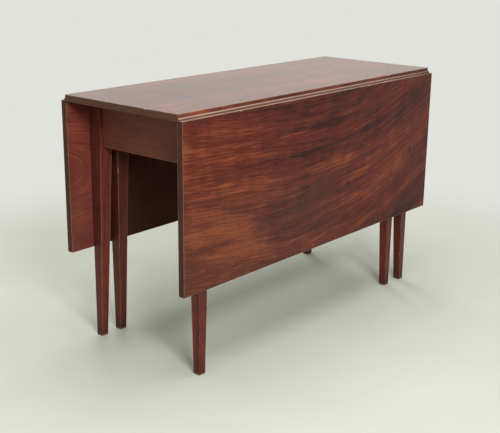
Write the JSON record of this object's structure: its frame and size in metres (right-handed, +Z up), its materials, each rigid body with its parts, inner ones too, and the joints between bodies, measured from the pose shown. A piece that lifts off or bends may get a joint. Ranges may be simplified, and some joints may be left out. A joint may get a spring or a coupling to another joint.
{
  "type": "drop-leaf table",
  "caption": "Long narrow table with deep drop leaves on rule joints, square tapered legs, and swing legs on wooden knuckle hinges that carry the raised leaves.",
  "frame": {"origin": "on the floor under the middle of the table", "axes": "+X along the table, to the right seen from the front; +Y to the back leaf; +Z up"},
  "size_m": [1.182, 0.4584, 0.724],
  "materials": {
    "mahogany": "old polished, satin",
    "secondary_wood": "unfinished, sawn",
    "iron": "dark, dull"
  },
  "bodies": {
    "frame": {"top_board": "mahogany", "left_front_leg": "mahogany", "right_front_leg": "mahogany", "left_back_leg": "mahogany", "right_back_leg": "mahogany", "left_end_rail": "mahogany", "right_end_rail": "mahogany", "front_inner_rail": "secondary_wood", "back_inner_rail": "secondary_wood", "front_fixed_rail": "mahogany", "back_fixed_rail": "mahogany", "front_knuckle_pin": "iron", "back_knuckle_pin": "iron", "front_left_top_plate": "iron", "front_right_top_plate": "iron", "back_left_top_plate": "iron", "back_right_top_plate": "iron", "front_left_hinge_pin": "iron", "front_right_hinge_pin": "iron", "back_left_hinge_pin": "iron", "back_right_hinge_pin": "iron", "front_top_plate_screws": "iron", "front_rail_screws": "iron", "front_top_screws": "iron", "back_top_plate_screws": "iron", "back_rail_screws": "iron", "back_top_screws": "iron", "front_left_glue_block": "secondary_wood", "front_right_glue_block": "secondary_wood", "back_left_glue_block": "secondary_wood", "back_right_glue_block": "secondary_wood", "left_end_glue_block": "secondary_wood", "right_end_glue_block": "secondary_wood"},
    "front_leaf": {"front_leaf": "mahogany", "front_left_leaf_plate": "iron", "front_right_leaf_plate": "iron", "front_leaf_plate_screws": "iron"},
    "back_leaf": {"back_leaf": "mahogany", "back_left_leaf_plate": "iron", "back_right_leaf_plate": "iron", "back_leaf_plate_screws": "iron"},
    "front_gate": {"front_fly_rail": "mahogany", "front_swing_leg": "mahogany"},
    "back_gate": {"back_fly_rail": "mahogany", "back_swing_leg": "mahogany"}
  },
  "joints": [
    {"name": "front_leaf_hinge", "type": "hinge", "parent": "frame", "child": "front_leaf", "pos_m": [0, -0.213, 0.7078], "axis": [-1, 0, 0], "range_deg": [0, 90]},
    {"name": "back_leaf_hinge", "type": "hinge", "parent": "frame", "child": "back_leaf", "pos_m": [0, 0.213, 0.7078], "axis": [1, 0, 0], "range_deg": [0, 90]},
    {"name": "front_gate_swing", "type": "hinge", "parent": "frame", "child": "front_gate", "pos_m": [0.02, -0.194, 0.6385], "axis": [0, 0, -1], "range_deg": [0, 0.75]},
    {"name": "back_gate_swing", "type": "hinge", "parent": "frame", "child": "back_gate", "pos_m": [-0.02, 0.194, 0.6385], "axis": [0, 0, -1], "range_deg": [0, 0.75]}
  ]
}
